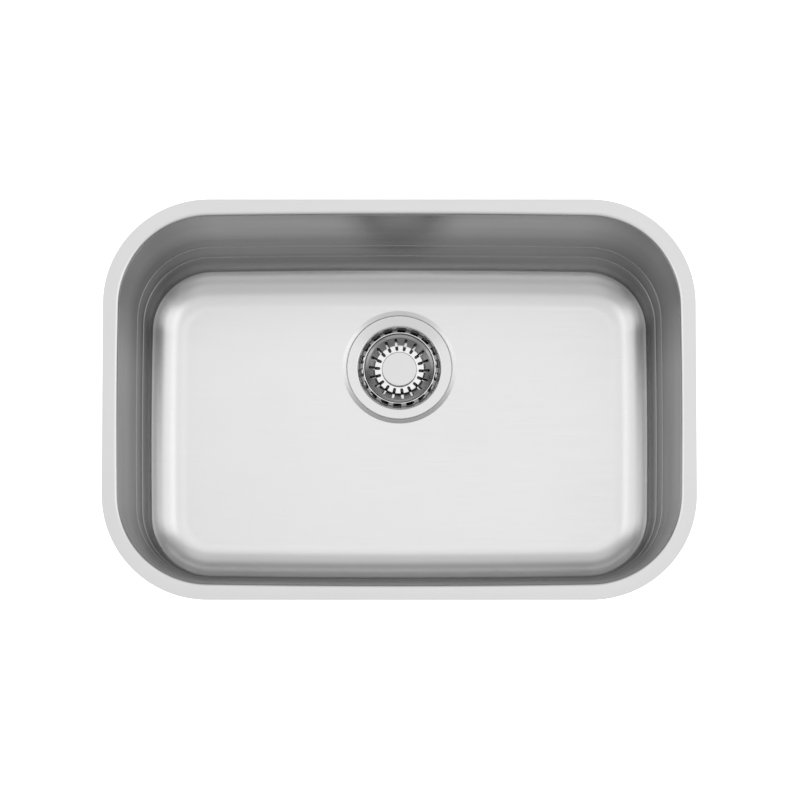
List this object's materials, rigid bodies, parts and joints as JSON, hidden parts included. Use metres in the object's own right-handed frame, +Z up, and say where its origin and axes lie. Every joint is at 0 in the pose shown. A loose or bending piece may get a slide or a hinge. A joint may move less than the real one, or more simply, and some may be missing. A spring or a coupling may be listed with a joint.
{
  "type": "undermount kitchen sink",
  "caption": "Pressed satin steel undermount kitchen sink: one deep bowl with round corners and a flat flange, with a basket strainer waste that lifts out and turns.",
  "frame": {"origin": "middle of the bowl's opening, on the top face of the flange", "axes": "+X along the sink to the right as seen from the front, +Y to the back, where the waste lies, +Z up"},
  "size_m": [0.632, 0.432, 0.259],
  "materials": {
    "bowl_steel": "satin",
    "waste_steel": "bright satin",
    "basket_steel": "polished",
    "turned_steel": "turned",
    "insert_brass": "turned",
    "black_rubber": "moulded",
    "white_plastic": "moulded",
    "grey_plastic": "moulded",
    "pad_bitumen": "embossed"
  },
  "bodies": {
    "sink": {"bowl": "bowl_steel", "sound_pad_left": "pad_bitumen", "sound_pad_right": "pad_bitumen", "waste_flange": "waste_steel", "flange_seal": "black_rubber", "lower_gasket": "black_rubber", "slip_ring": "white_plastic", "waste_body": "white_plastic", "outlet_spigot": "white_plastic", "thread_insert": "insert_brass", "centre_screw": "turned_steel", "screw_seal": "black_rubber"},
    "stopper": {"stem": "turned_steel", "stopper_plate": "grey_plastic", "stopper_seal": "black_rubber", "stem_washer": "turned_steel", "stem_nut": "turned_steel", "stem_ring": "black_rubber"},
    "strainer": {"basket": "basket_steel", "knob_cap": "basket_steel", "knob_hub": "grey_plastic"}
  },
  "joints": [
    {"name": "stopper_lift", "type": "slide", "parent": "sink", "child": "stopper", "axis": [0, 0, 1], "range_m": [0, 0.25]},
    {"name": "strainer_turn", "type": "hinge", "parent": "stopper", "child": "strainer", "pos_m": [0, 0.066, -0.2], "axis": [0, 0, 1], "continuous": true}
  ]
}
